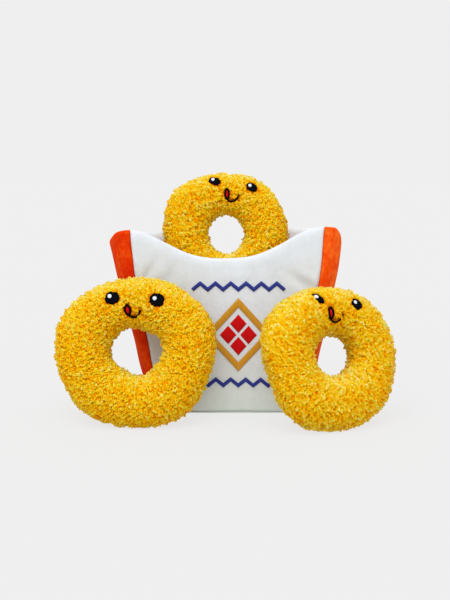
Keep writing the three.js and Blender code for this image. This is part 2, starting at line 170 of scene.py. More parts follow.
FUZZ = 0.96  # how far the fuzz evens out the light on the yarn
YARN_STANDS = 0.25  # yarn thicker than this covers the stitches' edge
STITCH_SUNK = -2.9  # the cloth's lift under the stitches
SUNK_EDGE = 1.2  # how far round the stitches it rises again
FAR = 99.0  # a distance that counts as well away from the stitches

# How much each thing brightens the fleece's colour. The locks' and curls' heights carry painted shade low
# between them and a painted highlight on their tops.
LOCK_DEPTH_SHADE_SHARE = 0.36
CURL_DEPTH_SHADE_SHARE = 0.42
SHADE_SHARE = 0.25
PATCH_SHARE = 0.05
# Painted top light: the fleece is painted paler where it faces up.
PAINTED_TOP_LIGHT_SHARE = 0.3
STRAND_SHARE = 0.04

# The stitched faces, as in the part apart from a thinner stroke and the heights.
EYE_SPACING = 34.6
EYE_HALF = (5.6, 5.2)
GLINT_RADIUS = 1.6
GLINT_OFFSET = (-1.8, 1.1)
GLINT_LIFT = 0.8
GLINT_HEIGHT = 0.5
TONGUE_HALF = (1.25, 2.9)
TONGUE_TURN = 12  # degrees, counter-clockwise
TONGUE_HEIGHT = 1.4
TONGUE_OVER = 0.25  # how far its threads spread over its edge
TONGUE_GAP = 0.3
STROKE = 1.4  # the width of the mouth's stitched line
SMILE_OFFSET = 4.2  # from the tongue's middle
SMILE_TURN = (236, 366)  # degrees, counter-clockwise from the right
STITCH_BASE = -2.0  # the lift of the stitches' under side
STITCH_HEIGHT = 0.9
STITCH_ROOT = 0.25  # how far a stitched patch reaches into the cloth
STROKE_HEIGHT = 1.8

# The motif, as in the part apart from slightly thinner zigzags.
MOTIF = (7, 65)
FRAME_HALF = (27, 30)
FRAME_BAND = 0.26  # the frame's width as a share of its half size
LOZENGE_HALF = (6.6, 7.6)
LOZENGE_STEP = (8.1, 9.1)
ZIGZAG_HALF_WIDTH = 36
ZIGZAG_TEETH = 6
ZIGZAG_HEIGHT = 5
ZIGZAG_STITCH = 2.924  # the width of their line
ZIGZAG_OFFSET = 39
MOTIF_CLEAR = 0.15  # how far the stitches start in front of the cloth
STITCH_STEP = 0.8  # the mesh's step along a stitched line


def smooth(value, low, high):
    """0 up to low, 1 from high on, and a smooth rise between them."""
    t = np.clip((np.asarray(value, float) - low) / (high - low), 0, 1)
    return t * t * (3 - 2 * t)


def mix(a, b, t):
    """From a to b, as t goes from 0 to 1."""
    return a + (b - a) * t


# Meshes


def grid_faces(columns, rows, loop_columns=False, loop_rows=False):
    """Quads of a grid of points stored row after row."""
    wide = columns if loop_columns else columns + 1
    i, j = np.meshgrid(np.arange(columns), np.arange(rows))
    i = i.ravel()
    j = j.ravel()
    nxt_i = (i + 1) % wide if loop_columns else i + 1
    tall = rows if loop_rows else rows + 1
    nxt_j = (j + 1) % tall if loop_rows else j + 1
    return np.stack([j * wide + i, j * wide + nxt_i, nxt_j * wide + nxt_i, nxt_j * wide + i], 1)


def make(name, points, quads, material, attributes=None, normals=None):
    """A smooth mesh object of these points in millimetres, riding on the part's one body."""
    mesh = bpy.data.meshes.new(name)
    corners = np.asarray(quads, np.int32).ravel()
    mesh.vertices.add(len(points))
    mesh.vertices.foreach_set("co", (np.asarray(points, np.float32) * MM).ravel())
    mesh.loops.add(len(corners))
    mesh.loops.foreach_set("vertex_index", corners)
    mesh.polygons.add(len(quads))
    mesh.polygons.foreach_set("loop_start", np.arange(0, len(corners), 4, dtype=np.int32))
    mesh.update(calc_edges=True)
    mesh.validate()
    for key, values in (attributes or {}).items():
        layer = mesh.attributes.new(key, "FLOAT", "POINT")
        layer.data.foreach_set("value", np.asarray(values, np.float32))
    mesh.polygons.foreach_set("use_smooth", [True] * len(mesh.polygons))
    if normals is not None:
        mesh.normals_split_custom_set_from_vertices(normals)
    mesh.materials.append(material)
    piece = bpy.data.objects.new(name, mesh)
    bpy.context.scene.collection.objects.link(piece)
    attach(piece, "root")
    return piece


def face_outwards(points, quads):
    """The quads, turned over if the closed mesh's volume comes out negative."""
    a, b, c, d = (points[quads[:, k]] for k in range(4))
    volume = np.einsum("ij,ij->", a, np.cross(b, c)) + np.einsum("ij,ij->", a, np.cross(c, d))
    return quads[:, ::-1] if volume < 0 else quads


# Materials


class Nodes:
    """A material's nodes, added and joined in short form."""

    def __init__(self, name):
        self.material = bpy.data.materials.new(name)
        self.material.use_nodes = True
        self.tree = self.material.node_tree
        self.tree.nodes.clear()
        self.shader = self.add("ShaderNodeBsdfPrincipled")
        output = self.add("ShaderNodeOutputMaterial")
        self.join(self.shader.outputs[0], output.inputs[0])
        self.place = self.add("ShaderNodeTexCoord").outputs["Object"]

    def add(self, kind, **settings):
        node = self.tree.nodes.new(kind)
        for key, value in settings.items():
            setattr(node, key, value)
        return node

    def join(self, source, target):
        self.tree.links.new(source, target)

    def noise(self, scale, detail=2.0, rough=0.5, stretch=None, distortion=0.0):
        node = self.add("ShaderNodeTexNoise")
        node.inputs["Scale"].default_value = scale
        node.inputs["Detail"].default_value = detail
        node.inputs["Roughness"].default_value = rough
        node.inputs["Distortion"].default_value = distortion
        self.join(self.stretched(stretch), node.inputs["Vector"])
        return node.outputs["Fac"]

    def stretched(self, stretch):
        if stretch is None:
            return self.place
        node = self.add("ShaderNodeMapping")
        node.inputs["Scale"].default_value = stretch
        self.join(self.place, node.inputs["Vector"])
        return node.outputs[0]

    def value(self, name):
        return self.add("ShaderNodeAttribute", attribute_name=name).outputs["Fac"]

    def math(self, operation, a, b, clamp=False):
        node = self.add("ShaderNodeMath", operation=operation, use_clamp=clamp)
        for socket, value in zip(node.inputs, (a, b)):
            if isinstance(value, (int, float)):
                socket.default_value = value
            else:
                self.join(value, socket)
        return node.outputs[0]

    def ramp(self, fac, stops):
        node = self.add("ShaderNodeValToRGB")
        ramp = node.color_ramp
        while len(ramp.elements) < len(stops):
            ramp.elements.new(0.5)
        for element, (position, colour) in zip(ramp.elements, stops):
            element.position = position
            element.color = (*colour, 1)
        self.join(fac, node.inputs["Fac"])
        return node.outputs["Color"]

    def blend(self, fac, a, b, mode="MIX"):
        node = self.add("ShaderNodeMix", data_type="RGBA", blend_type=mode)
        for socket, value in zip((node.inputs[0], node.inputs[6], node.inputs[7]), (fac, a, b)):
            if isinstance(value, (int, float)):
                socket.default_value = value
            elif isinstance(value, tuple):
                socket.default_value = (*value, 1)
            else:
                self.join(value, socket)
        return node.outputs[2]

    def bump(self, height, distance, strength=1.0, under=None):
        node = self.add("ShaderNodeBump")
        node.inputs["Strength"].default_value = strength
        node.inputs["Distance"].default_value = distance
        self.join(height, node.inputs["Height"])
        if under is not None:
            self.join(under, node.inputs["Normal"])
        return node.outputs[0]

    def finish(self, colour, normal, roughness, specular, sheen=0.0, sheen_tint=(1, 1, 1),
               sheen_roughness=0.5):
        inputs = self.shader.inputs
        self.join(colour, inputs["Base Color"])
        self.join(normal, inputs["Normal"])
        inputs["Roughness"].default_value = roughness
        inputs["Sheen Weight"].default_value = sheen
        inputs["Sheen Roughness"].default_value = sheen_roughness
        inputs["Sheen Tint"].default_value = (*sheen_tint, 1)
        inputs["Specular IOR Level"].default_value = specular
        return self.material


def fleece_material():
    """Curly fleece: painted shade, deep orange, between the curls, and a painted highlight, bright yellow, on
    their tops.
    """
    n = Nodes("fleece")
    strands = n.math("SINE", n.math("MULTIPLY", n.noise(330, 0), 34), 0)
    # Painted shade and highlight: low yarn between the locks and curls is painted deep orange, their tops
    # pale yellow.
    level = n.math("MULTIPLY", n.value("lock"), LOCK_DEPTH_SHADE_SHARE)
    level = n.math("ADD", level, n.math("MULTIPLY", n.value("curl"), CURL_DEPTH_SHADE_SHARE))
    level = n.math("ADD", level, n.math("MULTIPLY", n.math("SUBTRACT", n.value("shade"), 0.5), SHADE_SHARE))
    level = n.math("ADD", level, n.math("MULTIPLY", n.math("SUBTRACT", n.noise(60, 2), 0.5), PATCH_SHARE))
    # Painted top light: cloth that faces up is painted paler.
    level = n.math("ADD", level, n.math("MULTIPLY", n.value("up"), PAINTED_TOP_LIGHT_SHARE))
    level = n.math("ADD", level, n.math("MULTIPLY", strands, STRAND_SHARE), clamp=True)
    colour = n.ramp(level, [
        (0.06, (0.68, 0.205, 0.0)),
        (0.27, (0.72, 0.305, 0.0)),
        (0.46, (0.745, 0.405, 0.002)),
        (0.66, (0.735, 0.463, 0.009)),
        (0.85, (0.73, 0.518, 0.035)),
        (1.0, (0.73, 0.58, 0.13)),
    ])
    n.shader.inputs["Subsurface Weight"].default_value = 1.0
    n.shader.inputs["Subsurface Radius"].default_value = (1.0, 0.4, 0.1)
    n.shader.inputs["Subsurface Scale"].default_value = 0.0011
    fibres = n.noise(2400, 3, 0.7)
    normal = n.bump(fibres, 0.00012, 0.35, under=n.bump(strands, 0.0002, 0.3))
    return n.finish(colour, normal, roughness=1.0, specular=0.02, sheen=0.25, sheen_tint=(1, 0.9, 0.5),
                    sheen_roughness=0.3)


def plush_material(name, stops, tint, streak, relief, low=None):
    """Short pile cloth: brushed patches, fine pile.

    streak is the fine streaks' share in the colour, relief the depth of the brushed patches in metres, and
    low the painted shade, a darker and yellower tint that the colour is multiplied by towards the ground.
    """
    n = Nodes(name)
    brushed = n.noise(95, 3, 0.6, stretch=(1, 1, 0.7), distortion=0.6)
    fine = n.noise(420, 3, 0.7, stretch=(1, 1, 0.6))
    level = n.math("ADD", n.math("MULTIPLY", brushed, 1 - streak), n.math("MULTIPLY", fine, streak))
    colour = n.ramp(level, stops)
    # Painted shade: the colour darkens and yellows towards the ground.
    if low:
        height = n.add("ShaderNodeSeparateXYZ")
        n.join(n.place, height.inputs[0])
        share = n.math("SUBTRACT", 1, n.math("DIVIDE", height.outputs[2], GROUND_SHADE_TOP * MM), clamp=True)
        colour = n.blend(share, colour, n.blend(1.0, colour, low, "MULTIPLY"))
    pile = n.noise(1500, 4, 0.75, stretch=(1, 1, 0.45))
    normal = n.bump(pile, 0.0002, 0.5, under=n.bump(level, relief, 0.6))
    return n.finish(colour, normal, roughness=1.0, specular=0.04, sheen=0.15, sheen_tint=tint)


def thread_material(name, dark, light, angle, roughness=0.5, specular=0.3):
    """Satin stitch: fine parallel threads at this angle."""
    n = Nodes(name)
    mapping = n.add("ShaderNodeMapping")
    mapping.inputs["Rotation"].default_value = (0, math.radians(angle), 0)
    n.join(n.place, mapping.inputs["Vector"])
    wave = n.add("ShaderNodeTexWave", wave_type="BANDS", bands_direction="X", wave_profile="SIN")
    wave.inputs["Scale"].default_value = 330
    wave.inputs["Distortion"].default_value = 1.2
    wave.inputs["Detail"].default_value = 2
    wave.inputs["Detail Scale"].default_value = 0.6
    n.join(mapping.outputs[0], wave.inputs["Vector"])
    fine = n.noise(900, 2, 0.6)
    level = n.math("ADD", n.math("MULTIPLY", wave.outputs["Fac"], 0.7), n.math("MULTIPLY", fine, 0.3))
    colour = n.ramp(level, [(0.15, dark), (0.75, light)])
    normal = n.bump(wave.outputs["Fac"], 0.00025, 0.7)
    return n.finish(colour, normal, roughness, specular)


FLEECE = fleece_material()
# The white cloth carries painted shade, darker and yellower towards the ground.
WHITE = plush_material(
    "white_plush",
    [(0.35, (0.62, 0.65, 0.68)), (0.65, (0.665, 0.705, 0.75))],
    tint=(1, 1, 1), streak=0.3, relief=0.0012, low=(0.88, 0.91, 0.80),
)
# The two bands are one orange cloth: the left band's darker copy is painted shade, the right band's brighter
# copy painted light.
ORANGE_SHADED_LEFT = plush_material(
    "orange_plush_shaded_left",
    [(0.36, (0.59, 0.014, 0.0002)), (0.5, (0.67, 0.035, 0.0006)), (0.64, (0.78, 0.08, 0.004))],
    tint=(1, 0.25, 0.05), streak=0.45, relief=0.0015,
)
ORANGE_LIT_RIGHT = plush_material(
    "orange_plush_lit_right",
    [(0.36, (0.77, 0.038, 0.0006)), (0.5, (0.83, 0.084, 0.004)), (0.64, (0.94, 0.168, 0.015))],
    tint=(1, 0.35, 0.1), streak=0.45, relief=0.0015,
)
BLACK = thread_material("black_thread", (0.0006, 0.0008, 0.002), (0.003, 0.004, 0.007), 90, roughness=0.6,
                        specular=0.02)
GLINT = thread_material("white_thread", (0.5, 0.56, 0.62), (0.78, 0.83, 0.88), 90)
RED = thread_material("red_thread", (0.42, 0.002, 0.003), (0.64, 0.006, 0.007), 0, roughness=0.6,
                      specular=0.08)
GOLD = thread_material("gold_thread", (0.42, 0.17, 0.006), (0.66, 0.32, 0.015), 0)
BLUE = thread_material("blue_thread", (0.003, 0.008, 0.12), (0.008, 0.022, 0.28), 90)


# The pouch


def pouch_at(z, side):
    """The seam, the band's bulge, the half depth and the lean at a height, left if side is less than 0."""
    t = np.maximum(z, 0) / MOUTH_HEIGHT
    left = np.asarray(side) < 0
    bow, mouth_bulge, power = (np.where(left, BANDS[-1][key], BANDS[1][key])
                               for key in ("bow", "mouth_bulge", "bulge_power"))
    bulge = mix(BAND_BASE_BULGE, mouth_bulge, t**power)
    seam = mix(BASE_HALF_WIDTH, MOUTH_HALF_WIDTH, t) + bow * 4 * t * (1 - t) - bulge
    uneven = np.where(left, waver(z, 0, SEAM_SEEDS[-1], 11), waver(z, 0, SEAM_SEEDS[1], 11))
    seam = seam + SEAM_WAVER * smooth(z, 0, 30) * uneven
    return seam, bulge, mix(BASE_HALF_DEPTH, MOUTH_HALF_DEPTH, t ** DEPTH_POWER), -MOUTH_LEAN * t


def panel_depth(panel, across, z):
    """How far a panel stands from the pouch's middle, drawn in between its seams."""
    drawn = panel["waist"] * smooth(z, 0, WAIST_TOP)
    drawn = drawn - (panel["waist"] - panel["mouth"]) * smooth(z, MOUTH_BOTTOM, MOUTH_TOP)
    return pouch_at(z, across)[2] - drawn * (1 - across * across) ** 2


def panel_top(panel, across):
    """The height of a panel's top edge, across from -1 at its left seam to 1 at its right."""
    seam = pouch_at(MOUTH_HEIGHT, across)[0]
    reach = np.minimum(1, np.abs(across) * seam / panel["dip_half"])
    dip = panel["dip"] * (1 + np.cos(math.pi * reach ** panel["power"])) / 2
    return panel["corner"] + panel["rise"] * across - dip


def band_top(hand, share):
    """The top edge of a side band, share from 0 at its front seam to 1 at its back seam."""
    front = FRONT["corner"] + hand * FRONT["rise"]
    back = BACK["corner"] + hand * BACK["rise"]
    band = BANDS[hand]
    return mix(front, back, share) - band["dip"] * np.sin(math.pi * np.clip(share, 0, 1)) ** band["dip_power"]


# Soft folds: x, z, direction in degrees, half length, half width, depth.
FRONT_FOLDS = [
    (-62, 113, 58, 11, 3.4, 1.7),
    (-68, 108, 58, 10, 2.6, -0.7),
    (-43, 112, 60, 13, 5, 1.0),
    (58, 107, -38, 12, 4, 1.5),
    (64, 112, -38, 10, 3, -0.6),
    (36, 108, -75, 16, 6, 0.8),
    (-84, 128, 80, 12, 3, 0.8),
    (-18, 24, 8, 26, 5, 0.8),
    (20, 18, -6, 22, 4, 0.6),
    (-40, 60, 70, 20, 6, 0.8),
    (6, 112, 2, 20, 5, -0.5),
]
BACK_FOLDS = [
    (-55, 100, -60, 14, 4, 1.4),
    (50, 96, 62, 16, 5, 1.5),
    (0, 60, 4, 40, 7, 1.0),
    (-30, 30, 12, 24, 5, 0.8),
    (34, 28, -14, 22, 5, 0.8),
    (8, 100, 85, 16, 7, 0.7),
]


def dented(x, z, folds, seed):
    """How far a panel's cloth lies in at x, z, by its folds and a slow unevenness."""
    total = PANEL_WAVER * waver(x, z, seed + 1, 16)
    for fx, fz, turn, long, wide, deep in folds:
        c = math.cos(math.radians(turn))
        s = math.sin(math.radians(turn))
        along = ((x - fx) * c + (z - fz) * s) / long
        side = (-(x - fx) * s + (z - fz) * c) / wide
        total += deep * np.exp(-(along**2) - side**2)
    return total


def rounded(distance, radius):
    """0 at an edge and 1 from this far inside it, along a quarter circle."""
    t = np.clip(distance / radius, 0, 1)
    return np.sqrt(np.maximum(0, 1 - (1 - t) ** 2))


def waver(a, b, seed, size):
    """A slow wandering, mostly between -1 and 1. size is how long its swings are."""
    rng = np.random.default_rng(seed)
    total = np.zeros_like(np.asarray(a, float) + np.asarray(b, float))
    for _ in range(7):
        fa, fb = rng.normal(size=2) / size
        total += np.sin(a * fa + b * fb + rng.uniform(0, 2 * math.pi))
    return total / 3.5


def shell(name, columns, rows, surface, material):
    """A padded sheet. surface(u, v, side) gives points, side 0 inner and 1 outer."""
    u, v = np.meshgrid(np.linspace(0, 1, columns + 1), np.linspace(0, 1, rows + 1))
    inner = surface(u.ravel(), v.ravel(), 0)
    outer = surface(u.ravel(), v.ravel(), 1)
    points = np.concatenate([outer, inner])
    half = len(outer)
    front = grid_faces(columns, rows)
    back = front[:, ::-1] + half
    index = np.arange(half).reshape(rows + 1, columns + 1)
    border = np.concatenate([index[0, :], index[1:, -1], index[-1, -2::-1], index[-2:0:-1, 0]])
    after = np.roll(border, -1)
    rim = np.stack([after, border, border + half, after + half], 1)
    quads = face_outwards(points, np.concatenate([front, back, rim]))
    return make(name, points, quads, material)


def panel_surface(panel, folds, seed):
    """A panel's cloth for shell: u goes across and v up."""
    def surface(u, v, side):
        across = 2 * u - 1
        top = panel_top(panel, across) + EDGE_WAVER * waver(across * 90, 0, seed, 9)
        z = mix(FOOT, top, v)
        seam, _, _, lean = pouch_at(z, across)
        x = across * seam
        depth = panel_depth(panel, across, z) - PANEL_THICK / 2 - dented(x, z, folds, seed)
        edge = rounded((1 - np.abs(across)) * seam, PANEL_ROLL["edge"])
        lip = rounded(top - z, PANEL_ROLL["lip"])
        foot = rounded(z - FOOT, PANEL_ROLL["foot"])
        half = PANEL_THICK / 2 * (0.45 + 0.55 * edge) * lip * (0.5 + 0.5 * foot)
        depth = depth + (half if side else -half)
        return np.stack([x + lean, panel["side"] * depth, z], 1)

    return surface


def band_surface(hand, seed):
    """A side band's cloth for shell: u goes round from the front seam to the back one and v up."""
    def surface(u, v, side):
        turn = math.pi * u
        top = band_top(hand, u)
        z = mix(FOOT, top, v)
        seam, bulge, depth, lean = pouch_at(z, hand)
        edge = rounded(np.minimum(u, 1 - u) * BAND_AROUND, BAND_ROLL["edge"])
        lip = rounded(top - z, BAND_ROLL["lip"])
        foot = rounded(z - FOOT, BAND_ROLL["foot"])
        thick = np.minimum(BAND_THICK, bulge * BAND_THICK_SHARE)
        half = thick / 2 * (0.4 + 0.6 * edge) * lip * (0.5 + 0.5 * foot)
        middle = bulge - thick / 2 + BAND_WAVER * waver(u * 40, z, seed, 12)
        off = half if side else -half
        out = middle + off * np.sin(turn)
        x = seam + SEAM_GAP + np.maximum(0, out) * np.sin(turn)
        y = -(depth - PANEL_THICK / 2 + off) * np.cos(turn)
        return np.stack([hand * x + lean, y, z], 1)

    return surface


def build_base():
    """The pouch's sewn bottom: flat underneath, with a thin rim under the cloth and a padded middle."""
    spokes = 200
    turn = np.arange(spokes) / spokes * 2 * math.pi
    c = np.cos(turn)
    s = np.sin(turn)
    seam, bulge, depth, _ = pouch_at(0.0, 1)
    edge_x = np.sign(c) * np.abs(c) ** (2 / BASE_CORNER_POWER)
    edge_y = np.sign(s) * np.abs(s) ** (2 / BASE_CORNER_POWER)
    points = np.concatenate([
        np.stack([edge_x * (seam + bulge - inset), edge_y * (depth - inset), np.full(spokes, z)], 1)
        for inset, z in BASE_PROFILE
    ])
    quads = face_outwards(points, grid_faces(spokes, len(BASE_PROFILE) - 1, loop_columns=True))
    piece = make("pouch_bottom", points, quads, WHITE)
    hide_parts("pouch_base")


def build_pouch():
    """The bottom, the two panels and the two side bands."""
    build_base()
    front = shell("pouch_front_panel", 130, 100, panel_surface(FRONT, FRONT_FOLDS, FRONT_SEED), WHITE)
    back = shell("pouch_back_panel", 110, 84, panel_surface(BACK, BACK_FOLDS, BACK_SEED), WHITE)
    for piece, node in ((front, "pouch_front"), (back, "pouch_back")):
        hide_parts(node)
    # The left band gets the copy with painted shade, the right the copy with painted light.
    for name, hand, material in (("left", -1, ORANGE_SHADED_LEFT), ("right", 1, ORANGE_LIT_RIGHT)):
        band = shell(f"side_band_{name}", 48, 100, band_surface(hand, BAND_SEED + hand), material)
        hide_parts(f"band_{name}")


# Stitching


def ribbon(name, path, widths, height, place, material, closed=False, sides=8):
    """A satin-stitched line. path is points in a flat plane, and place(x, z, lift) puts them on the cloth."""
    path = np.asarray(path, float)
    count = len(path)
    ahead = np.roll(path, -1, 0) - path
    behind = path - np.roll(path, 1, 0)
    if not closed:
        ahead[-1] = behind[-1]
        behind[0] = ahead[0]
    ahead /= np.linalg.norm(ahead, axis=1, keepdims=True)
    behind /= np.linalg.norm(behind, axis=1, keepdims=True)
    mean = ahead + behind
    mean /= np.linalg.norm(mean, axis=1, keepdims=True)
    across = np.stack([-mean[:, 1], mean[:, 0]], 1)
    stretch = 1 / np.clip(np.einsum("ij,ij->i", mean, ahead), 0.45, 1)
    rows = []
    for k in range(sides):
        turn = 2 * math.pi * (k + 0.5) / sides
        offset = math.cos(turn) * np.asarray(widths) / 2 * stretch
        lift = height * max(0.0, math.sin(turn)) ** 0.7
        at = path + across * offset[:, None]
        rows.append(place(at[:, 0], at[:, 1], np.full(count, lift)))
    points = np.stack(rows, 1).reshape(-1, 3)
    quads = grid_faces(sides, count if closed else count - 1, loop_columns=True, loop_rows=closed)
    if not closed:
        ends = []
        for start in (0, (count - 1) * sides):
            for k in range(sides // 2 - 1):
                ends.append([start + k, start + k + 1, start + sides - 2 - k, start + sides - 1 - k])
        ends = np.array(ends)
        ends[len(ends) // 2:] = ends[len(ends) // 2:, ::-1]
        quads = np.concatenate([quads, ends[:, ::-1]])
    return make(name, points, face_outwards(points, quads), material)


def dome(name, outline, height, place, material, hoops=9, crown=2.4):
    """A satin-stitched patch: outline(turn) gives its edge, and the threads crown towards its middle."""
    spokes = 72
    centre = 0.001  # a point, nearly
    turn = np.arange(spokes) / spokes * 2 * math.pi
    edge = outline(turn)
    layers = []
    levels = []
    for j in range(hoops + 1):
        reach = 1 - j / hoops
        layers.append(edge * max(reach, centre))
        levels.append(height * (1 - reach**crown) ** 0.55 if reach < 1 else 0.12 * height)
    points = [place(layer[:, 0], layer[:, 1], np.full(spokes, level)) for layer, level in zip(layers, levels)]
    under = [place(edge[:, 0] * r, edge[:, 1] * r, np.full(spokes, -STITCH_ROOT)) for r in (centre, 1.0)]
    points = np.concatenate(under + points)
    quads = grid_faces(spokes, hoops + 2, loop_columns=True)
    return make(name, points, face_outwards(points, quads), material)


def ragged(spokes, seed, amount):
    """An uneven reach of about 1 for each spoke of an outline."""
    return 1 + amount * np.random.default_rng(seed).uniform(-1, 1, spokes)


def frayed(turn, seed):
    """An eye's edge: nearly even above, and ragged below, where threads stop short."""
    teeth = np.random.default_rng(seed).uniform(-1, 0.3, 26)
    amount = 0.03 + 0.14 * smooth(-np.sin(turn), 0, 0.8)
    return 1 + amount * np.interp(turn, np.linspace(0, 2 * math.pi, len(teeth)), teeth)


def on_pouch(x, z, lift):
    """A place on the pouch's front, from the motif's middle."""
    height = MOTIF[1] + z
    px = MOTIF[0] + x
    seam, _, _, lean = pouch_at(height, px)
    across = (px - lean) / seam
    depth = panel_depth(FRONT, across, height) - dented(px - lean, height, FRONT_FOLDS, FRONT_SEED)
    y = -depth - MOTIF_CLEAR - lift
    return np.stack([px, y, height], 1)


def along_line(corners, step, closed=False):
    """Points along straight legs."""
    corners = [np.array(c, float) for c in corners]
    legs = list(zip(corners, corners[1:] + corners[:1])) if closed else list(zip(corners, corners[1:]))
    path = []
    for a, b in legs:
        count = max(1, round(np.linalg.norm(b - a) / step))
        path += [a + (b - a) * k / count for k in range(count)]
    if not closed:
        path.append(corners[-1])
    return np.array(path)


def build_motif():
    """The gold frame, the blue zigzags over and under it, and the four red lozenges in it."""
    middle = 1 - FRAME_BAND / 2
    width, height = FRAME_HALF[0] * middle, FRAME_HALF[1] * middle
    band = FRAME_BAND * FRAME_HALF[0] * FRAME_HALF[1] / math.hypot(*FRAME_HALF)
    path = along_line([(width, 0), (0, height), (-width, 0), (0, -height)], STITCH_STEP, closed=True)
    widths = np.full(len(path), band)
    piece = ribbon("motif_frame_stitch", path, widths, STITCH_HEIGHT, on_pouch, GOLD, closed=True, sides=12)
    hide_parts("motif_frame")
    for name, up in (("top", 1), ("bottom", -1)):
        step = ZIGZAG_HALF_WIDTH / ZIGZAG_TEETH
        corners = [(-ZIGZAG_HALF_WIDTH + k * step, up * ZIGZAG_OFFSET + (k % 2 - 0.5) * ZIGZAG_HEIGHT)
                   for k in range(2 * ZIGZAG_TEETH + 1)]
        path = along_line(corners, STITCH_STEP)
        widths = np.full(len(path), ZIGZAG_STITCH)
        piece = ribbon(f"motif_zigzag_{name}_stitch", path, widths, STITCH_HEIGHT, on_pouch, BLUE, sides=10)
        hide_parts(f"motif_zigzag_{name}")
    places = {"east": (1, 0), "north": (0, 1), "west": (-1, 0), "south": (0, -1)}
    for seed, (name, (column, row)) in enumerate(places.items()):
        def outline(turn, column=column, row=row, seed=seed):
            c = np.cos(turn)
            s = np.sin(turn)
            reach = ragged(len(turn), 50 + seed, 0.02) / (np.abs(c) + np.abs(s))
            return np.stack([c * reach * LOZENGE_HALF[0], s * reach * LOZENGE_HALF[1]], 1)

        def place(x, z, lift, column=column, row=row):
            return on_pouch(x + column * LOZENGE_STEP[0], z + row * LOZENGE_STEP[1], lift)

        piece = dome(f"motif_lozenge_{name}_stitch", outline, STITCH_HEIGHT, place, RED)
        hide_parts(f"motif_lozenge_{name}")


# The rings


